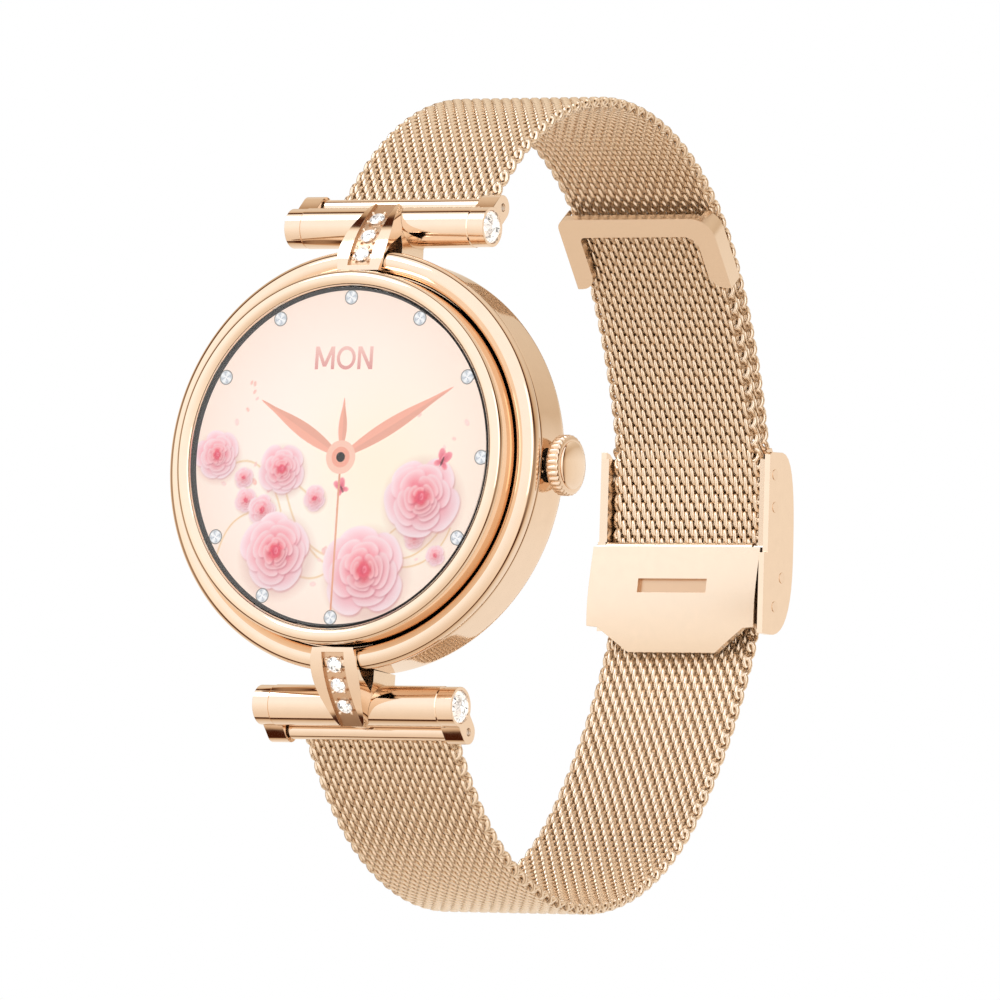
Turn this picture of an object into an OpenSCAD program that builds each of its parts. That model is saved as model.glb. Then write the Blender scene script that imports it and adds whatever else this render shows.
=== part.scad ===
// Round smartwatch on a woven mesh strap, worn loop closed.
// X points to the crown, Z to twelve o'clock, and Y from the dial to the wrist.
// Sections are drawn as [depth behind the glass, height] and moved last, so
// that the origin is the middle of the sensor window on the back.

/* [Case] */
// Diameter of the glass
glass_d = 31.5; // [31.0:0.1:31.8]
// Whole thickness, from the glass to the sensor window
case_t = 11; // [11:0.5:13]
// Radius of the case band between the front ring and the back
band_r = 19.3; // [19.2:0.05:19.4]
// Depth of the crown axis behind the glass
crown_depth = 6.4; // [6.3:0.1:6.6]
// Radius of the crown
crown_r = 2.8; // [2.6:0.1:2.8]
// Number of grooves round the crown
crown_grooves = 30; // [24:1:36]

/* [Lugs] */
// Height of the cross bars above the dial centre
bar_z = 22.2; // [22.1:0.1:22.3]
// Depth of the cross bars behind the glass
bar_depth = 7.3; // [7.2:0.1:7.4]
// Radius of the cross bars
bar_r = 1.9; // [1.8:0.05:1.9]
// Half length of the cross bars
bar_half = 10.6; // [10.5:0.1:11]
// Width of the ornamental arch
arch_w = 4.9; // [4.7:0.1:5]

/* [Strap] */
// Width of the mesh
strap_w = 16.4; // [15.6:0.2:16.4]
// Thickness of one layer of mesh
strap_t = 1.1; // [0.9:0.1:1.1]
// Gap between two stretches of mesh at a bend
bend_gap = 0.5; // [0.5:0.1:0.8]

/* [Clasp] */
// Outer width over the wings of the cover
clasp_w = 19.9; // [19.9:0.1:20.5]
// Length of the locking flap
flap_len = 10.2; // [9:0.1:10.4]

/* [Hidden] */
$fn = 64;

glass_r = glass_d / 2;
back_depth = case_t - 1;            // outer face of the back plate
ring_c = [18.45, 3.1];              // centre of the front ring's section
ring_r = 1.1;
half_w = strap_w / 2;
half_t = strap_t / 2;
layer_step = strap_t + 0.2;         // outer to inner layer, middle to middle

// The strap leaves the spring bar, which lies behind the cross bar.
pin_at = [bar_depth + 2, bar_z + 2.1];
tube_r = 0.85;
tube_bore = 0.5;
spring_bar_r = 0.45;
tip_r = 0.35;
ear_x = [half_w + 0.25, bar_half - 0.15];
tube_half = half_w + 0.1;

// The strap's course: start, heading and legs of [length, turn]. The upper
// half ends at the clasp. The lower half passes through it, and its tail lies
// inside the upper half.
strap_start = [pin_at[0] + 1.5, pin_at[1] - 0.55];
upper_run = [strap_start, 56, [[9.2, -14], [46.9, -95.8], [19.6, -19.6]]];
lower_run = [[strap_start[0], -strap_start[1]], -56,
             [[9.2, 14], [46.9, 95.8], [18.35, 18.35], [5, 22.15],
              [9.85, 0], [4, 12.3]]];
bends = [18, 37, 56];               // places of the bends along each half
mesh_from = 0.2;
upper_to = 75.2;
lower_to = 93.2;
tail_bend = 61.75;                  // measured along the upper half
clip_mid = 53.5;
tail_to = clip_mid - 2.3;
tail_half = half_w - 0.3;

// Clasp frame: middle of the clasp, with t up along the strap and n outward.
clasp_at = [66.75, 0];
clasp_lean = 4.3;
wing_in = 9.35;
wing_out = clasp_w / 2;
rail_x = [half_w + 0.1, 9.15];
hinge_tn = [7.4, 1.85];
flap_tn = [-0.2, -1.45];
flap_tilt = 3.5;
pin_tns = [[6.8, -1.15], [3.7, -1.0], [-3, 0.7], [-5.8, -0.6]];
low_pin_tns = [[3.7, 1.25], [-3, 1.25]];
flap_pin_r = 0.25;

// ---- Helpers -------------------------------------------------------------

function polar(r, a) = r * [cos(a), sin(a)];
function arc(c, r, a0, a1, n) = [for (i = [0:n]) c + polar(r, a0 + (a1 - a0) * i / n)];

// A point of a cubic curve with control points c
function curve_at(c, u) = pow(1 - u, 3) * c[0] + 3 * pow(1 - u, 2) * u * c[1]
    + 3 * (1 - u) * u * u * c[2] + pow(u, 3) * c[3];
// The same points on the other side, in reverse order
function flipped(points) = [for (i = [len(points) - 1:-1:0]) [-points[i][0], points[i][1]]];
function curve(c, n) = [for (i = [0:n]) curve_at(c, i / n)];

// The end of a stretch of length l that turns by a degrees
function leg_end(p, h, l, a) = a == 0 ? p + polar(l, h)
    : let (r = l * 180 / (PI * a)) p + r * [sin(h + a) - sin(h), cos(h) - cos(h + a)];
// Place and heading, [depth, height, heading], at distance s along a run
function walk(p, h, legs, s, i = 0) =
    let (l = legs[i][0], a = legs[i][1], u = s / l)
    s <= l || i == len(legs) - 1
        ? concat(leg_end(p, h, s, a * u), [h + a * u])
        : walk(leg_end(p, h, l, a), h + a, legs, s - l, i + 1);
// The same place, moved by off to the left of the heading
function beside(run, s, off) =
    let (w = walk(run[0], run[1], run[2], s))
    [w[0], w[1]] + polar(off, w[2] + 90);
// Outline of a band that follows a run
function band(run, s0, s1, off0, off1) =
    let (n = ceil((s1 - s0) / 1.6), d = (s1 - s0) / n)
    concat([for (i = [0:n]) beside(run, s0 + d * i, off0)],
           [for (i = [n:-1:0]) beside(run, s0 + d * i, off1)]);

function clasp_point(tn) = clasp_at + polar(tn[0], 90 + clasp_lean) + polar(tn[1], clasp_lean);
function clasp_points(list) = [for (tn = list) clasp_point(tn)];

// Moves the sections' origin, on the glass, to the row's origin on the back
module place() translate([0, -case_t, 0]) children();
// Turns an outline of [radius, depth] about the case's axis
module turned(points) rotate([-90, 0, 0]) rotate_extrude($fn = 128) polygon(points);
// A round disc or plate of the case, between two depths
module disc(r, d0, d1) translate([0, d0, 0]) rotate([-90, 0, 0]) cylinder(r = r, h = d1 - d0, $fn = 128);
module post(r, at, d0, d1) translate([at[0], d0, at[1]]) rotate([-90, 0, 0]) cylinder(r = r, h = d1 - d0);
// Extrudes an outline of [depth, height] across the wrist
module across(points, x0, x1) translate([x0, 0, 0]) rotate([90, 0, 90])
    linear_extrude(x1 - x0) polygon(points);
module rod(r, at, x0, x1) translate([x0, at[0], at[1]]) rotate([0, 90, 0]) cylinder(r = r, h = x1 - x0);
module both_sides() { children(); mirror([1, 0, 0]) children(); }
module lower_side() mirror([0, 0, 1]) children();
module crown_rod(r, x0, x1) rod(r, [crown_depth, 0], x0, x1);
// The clasp's own frame: x across, y up the strap, z outward
module on_clasp() translate([0, clasp_at[0], clasp_at[1]]) rotate([clasp_lean, 0, 0])
    rotate([90, 0, 0]) mirror([0, 0, 1]) children();

// ---- Case ----------------------------------------------------------------

module case_middle() color("#e6b48c") difference() {
    turned(concat(
        [[17.35, 3.4]], arc(ring_c, ring_r, 195, 420, 22),
        [[band_r - 0.05, 4.15], [band_r, 7.8]],
        arc([band_r - 1.6, 7.8], 1.6, 10, 90, 8),
        [[17.25, 9.4], [17.25, 8.7], [16.3, 8.7], [16.3, 3.4]]));
    crown_rod(1.02, 15, 20);
}

module bezel_ring() color("#f0c6a2") turned(concat(
    arc([16.55, 0.5], 0.75, 180, 360, 14),
    [[17.3, 3.4], [16.3, 3.4], [16.3, 2], [15.25, 2], [15.25, 1.3], [15.8, 1.3]]));

module cover_glass() color("#fff0e8", 0.4)
    turned([[0, 0], [glass_r - 0.3, 0], [glass_r, 0.3], [glass_r, 1], [0, 1]]);

module glass_gasket() color("#2b2b2d")
    turned([[15.3, 1], [glass_r, 1], [glass_r, 1.28], [15.3, 1.28]]);

module display_panel() color("#fbe3d0") disc(15.1, 1, 1.9);

module display_carrier() color("#3a3a3e") difference() {
    disc(16.2, 2.05, 2.4);
    disc(10, 2, 2.5);
}

module main_board() color("#1f6b4a") difference() {
    disc(14.6, 3, 3.7);
    for (z = [-1, 1]) translate([-20, 2.9, z > 0 ? 13.6 : -33.6]) cube([40, 1, 20]);
}

module battery() color("#9aa0a6") translate([-9.5, 4.2, -5.8]) cube([19, 3, 16]);

module vibration_motor() color("#c0c4c8") post(3.2, [-4, -10.2], 4.2, 6.8);

module inner_frame() color("#4a4a50") difference() {
    disc(16.2, 2.45, 8.4);
    disc(14.8, 2.4, 8.5);
    translate([12, 4.4, -3.2]) cube([6, 4.2, 6.4]);
    for (a = [45:90:315]) post(0.5, polar(15.5, a), 7.2, 8.6);
}

module sensor_board() color("#24543e") union() {
    disc(6.2, 7.7, 8.4);
    for (a = [0:120:240]) post(0.8, polar(3, a), 8.4, 9.2);
    post(1.1, [0, 0], 8.4, 9.2);
}

module sensor_window() color("#30343a")
    turned([[0, back_depth], [7.2, back_depth], [7.1, back_depth + 0.35], [6.2, case_t], [0, case_t]]);

module case_back() color("#d9c4b4") difference() {
    turned([[5.2, 9], [17.2, 9], [17.2, 9.4], [16.2, back_depth - 0.05],
            [15, back_depth], [5.2, back_depth]]);
    for (x = [-1.8, 1.8]) post(0.85, [x, -11.5], 8.9, back_depth + 0.1);
    for (a = [45:90:315]) {
        post(0.5, polar(15.5, a), 8.9, back_depth + 0.1);
        post(0.9, polar(15.5, a), 9.45, back_depth + 0.1);
    }
}

module case_back_gasket() color("#2b2b2d") turned([[16.5, 8.7], [17, 8.7], [17, 9], [16.5, 9]]);

module case_back_screws() color("#b9a08c") for (a = [45:90:315]) difference() {
    union() {
        post(0.85, polar(15.5, a), 9.45, 9.85);
        post(0.45, polar(15.5, a), 7.4, 9.45);
    }
    translate([polar(15.5, a)[0] - 0.1, 9.65, polar(15.5, a)[1] - 0.6]) cube([0.2, 0.3, 1.2]);
}

module charging_contacts() color("#e8c060") for (x = [-1.8, 1.8])
    post(0.8, [x, -11.5], 8.8, back_depth + 0.05);

// ---- Crown ---------------------------------------------------------------

module crown_tube() color("#c9a07c") difference() {
    crown_rod(1, 16.35, 19.9);
    crown_rod(0.62, 16, 20);
}

module crown_switch() color("#606068") union() {
    translate([13.6, crown_depth - 1.4, -2.4]) cube([2, 2.8, 4.8]);
    crown_rod(0.6, 15.6, 15.75);
}

module crown_stem() color("#d6ae8a") union() {
    crown_rod(0.55, 16.25, 21);
    crown_rod(0.9, 20.95, 21.15);
}

module crown_seal() color("#2b2b2d") difference() {
    crown_rod(1.68, 20.15, 20.55);
    crown_rod(1.06, 20, 21);
}

module crown_knob() color("#e6b48c") difference() {
    union() {
        crown_rod(crown_r - 0.15, 19.85, 20);
        crown_rod(crown_r, 20, 21);
        crown_rod(crown_r - 0.25, 21, 21.2);
    }
    crown_rod(1.7, 19.8, 20.6);
    crown_rod(0.6, 20.5, 21);
    crown_rod(1, 20.9, 21.3);
    for (i = [0:crown_grooves - 1])
        crown_rod_at(0.17, polar(crown_r + 0.06, i * 360 / crown_grooves));
}

module crown_rod_at(r, off) translate([19.8, crown_depth + off[0], off[1]])
    rotate([0, 90, 0]) cylinder(r = r, h = 1.6, $fn = 16);

module crown_cap() color("#f0c6a2") translate([21.2, crown_depth, 0]) rotate([0, 90, 0])
    rotate_extrude($fn = 64)
        polygon(concat([[0, 0], [2.15, 0]], curve([[2.15, 0.12], [1.9, 0.38], [1, 0.5], [0, 0.52]], 10)));

// ---- Lugs ----------------------------------------------------------------

// Joins the band to the cross bar and narrows towards the arch's tip
module lug_neck() color("#dba880") difference() {
    intersection() {
        union() {
            rod(bar_r + 0.55, [bar_depth, bar_z], -3.2, 3.2);
            translate([-3.2, bar_depth - 2.3, 18.9]) cube([6.4, 3.9, 2.2]);
        }
        translate([0, 12, 0]) rotate([90, 0, 0]) linear_extrude(12) polygon(concat(
            [[-2.5, 18.5], [2.5, 18.5]],
            curve([[2.5, 20.2], [2.3, 21.4], [1.8, 22.6], [0.5, 24.2]], 8),
            curve([[-0.5, 24.2], [-1.8, 22.6], [-2.3, 21.4], [-2.5, 20.2]], 8)));
    }
    rod(bar_r + 0.01, [bar_depth, bar_z], -4, 4);
    rod(tube_r + 0.3, pin_at, -4, 4);
    disc(band_r + 0.01, 3, 12);
    across(arch_body(0.01), -arch_w, arch_w);
}

// Section of the arch from the front ring over the cross bar
function arch_outer(sink) = [for (p = curve([[1.45, 17.45], [1.6, 19.6], [3.4, 22.2], [6.1, 24.45]], 16))
    p + [sink, -sink / 3]];
function arch_body(grow) = concat(arch_outer(-grow), [[6.35 + grow, 24.1 + grow]],
    arc([bar_depth, bar_z], bar_r + 0.03 - grow, 118, 184, 8),
    [[5, 21.2 - grow], [2.9, 20 - grow], [1.93 + grow, 18.9], [1.93 + grow, 17.45]]);

// Half of the arch's outline from the front, from the ring to its rounded tip
function arch_side(w) = concat([[w - 0.3, 17]],
    curve([[w - 0.25, 17.6], [w + 0.12, 18.8], [w + 0.12, 20.2], [w - 0.2, 21.6]], 8),
    curve([[w - 0.45, 22.4], [w - 0.75, 23.4], [w - 0.9, 24.35], [0.7, 24.5]], 8));

module lug_arch() color("#efc39c") difference() {
    intersection() {
        across(arch_body(0), -arch_w / 2 - 0.2, arch_w / 2 + 0.2);
        translate([0, 12, 0]) rotate([90, 0, 0]) linear_extrude(14) polygon(concat(
            arch_side(arch_w / 2),
            flipped(arch_side(arch_w / 2))));
    }
    across(concat(arch_outer(0.28), [[5, 26], [-1, 26], [-1, 17.9], [1.6, 17.9]]), -1.17, 1.17);
    across(arc([bar_depth, bar_z], bar_r + 0.02, 0, 350, 35), -4, 4);
}

module lug_bar() color("#e6b48c") rod(bar_r, [bar_depth, bar_z], -bar_half + 1.65, bar_half - 1.65);

// End caps with the ears that hold the spring bar
module lug_ears() color("#eabd94") both_sides() difference() {
    union() {
        rod(bar_r - 0.05, [bar_depth, bar_z], bar_half - 1.65, bar_half);
        across(ear_outline(), ear_x[0], ear_x[1]);
    }
    rod(bar_r + 0.01, [bar_depth, bar_z], 0, bar_half - 1.65);
    rod(tip_r + 0.03, pin_at, ear_x[0] - 1, ear_x[1] + 1);
    rod(1.55, [bar_depth, bar_z], bar_half - 0.5, bar_half + 1);
}
function ear_outline() = concat(
    arc(pin_at, 1.15, -45, 135, 12),
    [pin_at + polar(1.15, 135) + polar(2.2, 226), pin_at + polar(1.15, -45) + polar(2.6, 226)]);

module spring_bar() color("#c8ccd0") union() {
    rod(spring_bar_r, pin_at, -tube_half, tube_half);
    rod(tip_r, pin_at, -10.2, 10.2);
}

// Round-cut stone with its table towards +z, girdle at z = 0
module stone(r) rotate_extrude($fn = 32)
    polygon([[0, -0.28], [r, 0], [r, 0.06], [r * 0.6, 0.06 + r * 0.28], [0, 0.06 + r * 0.28]]);

module stones_on_arch() for (u = [0.24, 0.5, 0.75]) {
    c = [[1.45, 17.45], [1.6, 19.6], [3.4, 22.2], [6.1, 24.45]];
    p = curve_at(c, u);
    q = curve_at(c, u + 0.02) - p;
    translate([0, p[0], p[1]]) rotate([atan2(q[1], q[0]), 0, 0]) stone(0.8);
}

module arch_stones() color("#dfe6f2") { stones_on_arch(); lower_side() stones_on_arch(); }

module stones_on_bar() both_sides() translate([bar_half - 0.2, bar_depth, bar_z])
    rotate([0, 90, 0]) stone(1.54);

module bar_end_stones() color("#dfe6f2") { stones_on_bar(); lower_side() stones_on_bar(); }

// ---- Strap ---------------------------------------------------------------

module mesh(run, s0, s1, off = 0, w = half_w) color("#d9b08a")
    across(band(run, s0, s1, off - half_t, off + half_t), -w, w);

module mesh_between(run, i, last) mesh(run,
    i == 0 ? mesh_from : bends[i - 1] + bend_gap / 2,
    i == len(bends) ? last : bends[i] - bend_gap / 2);

// Tube on the spring bar with the tongue that the mesh is welded to
module end_tube() color("#e6b48c") difference() {
    union() {
        rod(tube_r, pin_at, -tube_half, tube_half);
        across([pin_at + polar(0.8, 70), beside(upper_run, mesh_from, half_t),
                beside(upper_run, mesh_from, -half_t), pin_at + polar(0.8, -75)],
               -tube_half, tube_half);
    }
    rod(tube_bore, pin_at, -9, 9);
}

module upper_end_fitting() color("#e6b48c") difference() {
    union() {
        rod(0.8, clasp_point(hinge_tn), -8.9, 8.9);
        across([beside(upper_run, upper_to, half_t), beside(upper_run, upper_to, -half_t),
                clasp_point(hinge_tn + [-0.45, -0.6]), clasp_point(hinge_tn + [0.7, 0.3])],
               -half_w, half_w);
    }
    rod(tube_bore, clasp_point(hinge_tn), -10, 10);
}

// ---- Clasp ---------------------------------------------------------------

function wing_outline() = clasp_points(concat(
    curve([[9, 0.2], [8.9, 2.6], [4.5, 2.85], [-1, 2.85]], 10),
    curve([[-1.5, 2.85], [-6, 2.8], [-8.7, 1.4], [-8.5, -1.4]], 10),
    [[-8.4, -2.9], [-0.7, -2.9], [-0.6, -2.2], [8.7, -2.2], [8.95, -1.9]]));

// Outer plate between a deep cheek and, on the side of the finger, a low one
module clasp_cover() color("#e9bd95") difference() {
    union() {
        across(wing_outline(), wing_in, wing_out);
        mirror([1, 0, 0]) intersection() {
            across(wing_outline(), wing_in, wing_out);
            across(clasp_points([[-10, 0.2], [10, 0.2], [10, 4], [-10, 4]]), wing_in, wing_out);
        }
        intersection() {
            across(wing_outline(), -wing_in - 0.1, wing_in + 0.1);
            across(clasp_points([[6.2, 2.05], [6.2, 4], [-8.6, 4], [-8.6, 1.1], [-6.6, 2.05]]),
                   -wing_in - 0.1, wing_in + 0.1);
        }
    }
    both_sides() rod(spring_bar_r, clasp_point(hinge_tn), wing_in - 1, wing_out - 0.2);
    cover_pins(wing_in - 1, wing_out + 1);
}

module cover_pins(x0, x1) {
    for (tn = pin_tns) rod(0.52, clasp_point(tn), x0, x1);
    mirror([1, 0, 0]) for (tn = low_pin_tns) rod(0.52, clasp_point(tn), x0, x1);
}

module clasp_hinge_bar() color("#c8ccd0") rod(spring_bar_r, clasp_point(hinge_tn), -wing_out + 0.2, wing_out - 0.2);

module clasp_pins() color("#f0c6a2") cover_pins(wing_in, wing_out + 0.06);

// Rails beside the strap, a plate behind it, and saddles for the flap's pin
module slider_frame() color("#efc7a4") difference() {
    union() {
        both_sides() across(clasp_points([[-7.5, -1.2], [-0.9, -1.2], [-0.9, -1.45], [0.3, -1.45],
            [0.3, -1.2], [8.3, -1.2], [8.3, 0.8], [6.3, 0.8], [6.3, 1.45], [-7.5, 1.45]]),
            rail_x[0], rail_x[1]);
        across(clasp_points([[-7.5, 0.85], [6.3, 0.85], [6.3, 1.45], [-7.5, 1.45]]),
               -rail_x[0] - 0.1, rail_x[0] + 0.1);
    }
    rod(flap_pin_r, clasp_point(flap_tn), -10, 10);
}

module flap_pin() color("#c8ccd0") rod(flap_pin_r, clasp_point(flap_tn), -rail_x[1], rail_x[1]);

module at_flap() translate([0, clasp_point(flap_tn)[0], clasp_point(flap_tn)[1]])
    rotate([clasp_lean - flap_tilt, 0, 0]) children();

// Locking flap, with rolled knuckle, chamfered end and a blind finger slot
module lock_flap() color("#f4d3b4") at_flap() difference() {
    union() {
        rod(0.45, [0, 0], -8, 8);
        translate([0, -0.05, 0]) rotate([90, 0, 0]) linear_extrude(0.7) polygon([
            [9.15, -0.03], [9.15, 0.4 - flap_len * 0.8], [8, 0.3 - flap_len * 0.8],
            [4.8, -flap_len], [-4.8, -flap_len], [-8, 0.3 - flap_len * 0.8],
            [-9.15, 0.4 - flap_len * 0.8], [-9.15, -0.03]]);
    }
    rod(flap_pin_r + 0.05, [0, 0], -10, 10);
    translate([-3.75, -0.85, -4.5]) cube([7.5, 0.55, 1.35]);
}

module tail_1() mesh(upper_run, tail_bend + bend_gap / 2, upper_to, -layer_step, tail_half);
module tail_2() mesh(upper_run, tail_to, tail_bend - bend_gap / 2, -layer_step, tail_half);

// The clip's frame: x across, y up the tail, z outward
module on_tail() {
    w = walk(upper_run[0], upper_run[1], upper_run[2], clip_mid);
    p = beside(upper_run, clip_mid, -layer_step);
    translate([0, p[0], p[1]]) rotate([w[2] + 90, 0, 0]) rotate([90, 0, 0]) mirror([0, 0, 1])
        mirror([0, 1, 0]) children();
}

// U-shaped plate over the tail, with walls along the tail's edges
module tail_clip() color("#f0c6a2") on_tail() let (w = tail_half + 0.5) union() {
    translate([0, 0, -1.6]) linear_extrude(0.8) polygon(concat(
        [[-w, 3.9]], arc([1.1 - w, -2.9], 1.1, 180, 270, 6), arc([w - 2.2, -1.8], 2.2, 270, 360, 8),
        [[w, 3.9]], arc([w - 0.5, 2.3], 1.6, 90, 180, 6), arc([w - 3.5, -0.55], 1.4, 0, -90, 6),
        arc([2.5 - w, -1.45], 0.5, 270, 180, 4), arc([0.5 - w, 2.4], 1.5, 0, 90, 6)));
    translate([0, 0, -1.6]) linear_extrude(1.95) polygon(concat(
        [[-w, 3.9]], arc([1.1 - w, -2.9], 1.1, 180, 245, 4), arc([1.1 - w, -2.9], 0.7, 245, 180, 4),
        [[0.4 - w, 3.9]]));
    translate([0, 0, -1.6]) linear_extrude(1.95) polygon(concat(
        arc([w - 2.2, -1.8], 2.2, 295, 360, 6), [[w, 3.9], [w - 0.4, 3.9]],
        arc([w - 2.2, -1.8], 1.8, 360, 295, 6)));
}

place() case_middle();
place() bezel_ring();
place() cover_glass();
place() glass_gasket();
place() display_panel();
place() display_carrier();
place() main_board();
place() battery();
place() vibration_motor();
place() inner_frame();
place() sensor_board();
place() sensor_window();
place() case_back();
place() case_back_gasket();
place() case_back_screws();
place() charging_contacts();
place() crown_tube();
place() crown_switch();
place() crown_stem();
place() crown_seal();
place() crown_knob();
place() crown_cap();
place() lug_neck();  // upper_lug_neck
place() lug_arch();  // upper_lug_arch
place() lug_bar();  // upper_lug_bar
place() lug_ears();  // upper_lug_ears
place() spring_bar();  // upper_spring_bar
place() lower_side() lug_neck();  // lower_lug_neck
place() lower_side() lug_arch();  // lower_lug_arch
place() lower_side() lug_bar();  // lower_lug_bar
place() lower_side() lug_ears();  // lower_lug_ears
place() lower_side() spring_bar();  // lower_spring_bar
place() arch_stones();
place() bar_end_stones();
place() end_tube();  // upper_end_tube
place() mesh_between(upper_run, 0, upper_to);  // upper_mesh_1
place() mesh_between(upper_run, 1, upper_to);  // upper_mesh_2
place() mesh_between(upper_run, 2, upper_to);  // upper_mesh_3
place() mesh_between(upper_run, 3, upper_to);  // upper_mesh_4
place() upper_end_fitting();
place() clasp_cover();
place() clasp_hinge_bar();
place() clasp_pins();
place() lower_side() end_tube();  // lower_end_tube
place() mesh_between(lower_run, 0, lower_to);  // lower_mesh_1
place() mesh_between(lower_run, 1, lower_to);  // lower_mesh_2
place() mesh_between(lower_run, 2, lower_to);  // lower_mesh_3
place() mesh_between(lower_run, 3, lower_to);  // lower_mesh_4
place() slider_frame();
place() flap_pin();
place() lock_flap();
place() tail_1();  // tail_mesh_1
place() tail_2();  // tail_mesh_2
place() tail_clip();
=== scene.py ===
"""Looks of the round dress smartwatch: materials, the woven mesh, the stones, the dial and the studio."""
import math

import bmesh
import bpy
import numpy as np
from mathutils import Matrix, Vector


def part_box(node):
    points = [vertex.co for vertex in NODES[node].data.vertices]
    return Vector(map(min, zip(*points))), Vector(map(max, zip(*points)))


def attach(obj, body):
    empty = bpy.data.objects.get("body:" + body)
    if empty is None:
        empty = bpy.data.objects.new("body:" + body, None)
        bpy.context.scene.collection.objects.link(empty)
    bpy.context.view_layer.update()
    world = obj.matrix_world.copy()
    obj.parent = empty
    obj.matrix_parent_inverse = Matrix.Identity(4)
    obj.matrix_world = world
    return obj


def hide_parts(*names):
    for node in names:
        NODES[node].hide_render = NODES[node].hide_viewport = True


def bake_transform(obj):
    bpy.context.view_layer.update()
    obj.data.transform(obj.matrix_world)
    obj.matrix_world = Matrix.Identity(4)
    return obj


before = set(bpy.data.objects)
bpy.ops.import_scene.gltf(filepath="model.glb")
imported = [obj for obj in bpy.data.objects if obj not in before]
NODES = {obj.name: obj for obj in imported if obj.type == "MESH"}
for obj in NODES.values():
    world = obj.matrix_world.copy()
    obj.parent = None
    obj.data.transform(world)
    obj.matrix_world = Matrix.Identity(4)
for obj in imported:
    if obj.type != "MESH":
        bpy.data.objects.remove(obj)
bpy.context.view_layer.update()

MM = 0.001
CASE_T = -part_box("cover_glass")[0].y / MM      # glass to sensor window
CROWN_D = CASE_T + sum(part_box("crown_cap")[i].y for i in (0, 1)) / 2 / MM
BAR_LO, BAR_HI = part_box("upper_lug_bar")
BAR_D = CASE_T + (BAR_LO.y + BAR_HI.y) / 2 / MM
BAR_Z = (BAR_LO.z + BAR_HI.z) / 2 / MM
BAR_R = (BAR_HI.z - BAR_LO.z) / 2 / MM
HALF_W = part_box("upper_mesh_2")[1].x / MM
RNG = np.random.default_rng(7)
WELD = 1e-7            # metres between corners that are one corner
CAD_WELD = 2e-6        # the same for CAD shapes
FLAT_DEG = 0.6         # CAD facets that meet flatter than this become one face
EDGE_DEG = 28          # edges sharper than this are rounded over
CROWN_CUTS = 12        # heights at which a bowed plate is cut
FOOT_BIAS = 0.45       # how much more a bowed plate swells towards its foot


# ---- Helpers ---------------------------------------------------------------

def to_row(points):
    """Points in mm as (x, depth behind the glass, z) to metres in the row frame."""
    p = np.asarray(points, float).reshape(-1, 3)
    return (p - (0, CASE_T, 0)) * MM


def make(name, points, faces, material, angle=35, convert=True):
    """A mesh object, smooth but for edges sharper than angle."""
    mesh = bpy.data.meshes.new(name)
    co = to_row(points) if convert else np.asarray(points, float)
    mesh.from_pydata([tuple(c) for c in co], [], [tuple(int(i) for i in f) for f in faces])
    mesh.validate()
    if angle:
        mesh.shade_smooth()
        mesh.set_sharp_from_angle(angle=math.radians(angle))
    ob = bpy.data.objects.new(name, mesh)
    bpy.context.scene.collection.objects.link(ob)
    mesh.materials.append(material)
    return ob


def fix_normals(ob, weld=0.0):
    """Turns all faces outwards, after welding corners closer than weld metres."""
    bm = bmesh.new()
    bm.from_mesh(ob.data)
    if weld:
        bmesh.ops.remove_doubles(bm, verts=bm.verts, dist=weld)
    bmesh.ops.recalc_face_normals(bm, faces=bm.faces)
    bm.to_mesh(ob.data)
    bm.free()


def place(ob, body, slot, *nodes):
    """Puts a piece on its body and replaces the CAD nodes given. slot is not used."""
    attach(ob, body)
    if nodes:
        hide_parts(*nodes)
    return ob


def arc(c, r, a0, a1, n):
    """Points of an arc about c, from a0 to a1 degrees."""
    return [(c[0] + r * math.cos(math.radians(a0 + (a1 - a0) * i / n)),
             c[1] + r * math.sin(math.radians(a0 + (a1 - a0) * i / n))) for i in range(n + 1)]


def bezier(c, n):
    """Points of a cubic curve with the control points c."""
    out = []
    for i in range(n + 1):
        u = i / n
        w = ((1 - u) ** 3, 3 * (1 - u) ** 2 * u, 3 * (1 - u) * u * u, u ** 3)
        out.append(tuple(sum(w[k] * c[k][j] for k in range(4)) for j in (0, 1)))
    return out


def lathe(name, profile, material, n, axis="case", at=(0, 0), closed=True, angle=35, radius=None):
    """Turns a profile in n steps. On the case's axis it is (radius, depth); on an X axis through
    at = (depth, z) it is (radius, x). radius(r, a, angle) may change the radius."""
    pts, faces = [], []
    m = len(profile)
    for i in range(n):
        t = 2 * math.pi * i / n
        for r, a in profile:
            q = radius(r, a, t) if radius else r
            if axis == "case":
                pts.append((q * math.cos(t), a, q * math.sin(t)))
            else:
                pts.append((a, at[0] + q * math.cos(t), at[1] + q * math.sin(t)))
    for i in range(n):
        j = (i + 1) % n
        for k in range(m if closed else m - 1):
            l = (k + 1) % m
            faces.append((i * m + k, i * m + l, j * m + l, j * m + k))
    ob = make(name, pts, faces, material, 0)
    fix_normals(ob, WELD)
    ob.data.shade_smooth()
    ob.data.set_sharp_from_angle(angle=math.radians(angle))
    return ob


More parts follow.
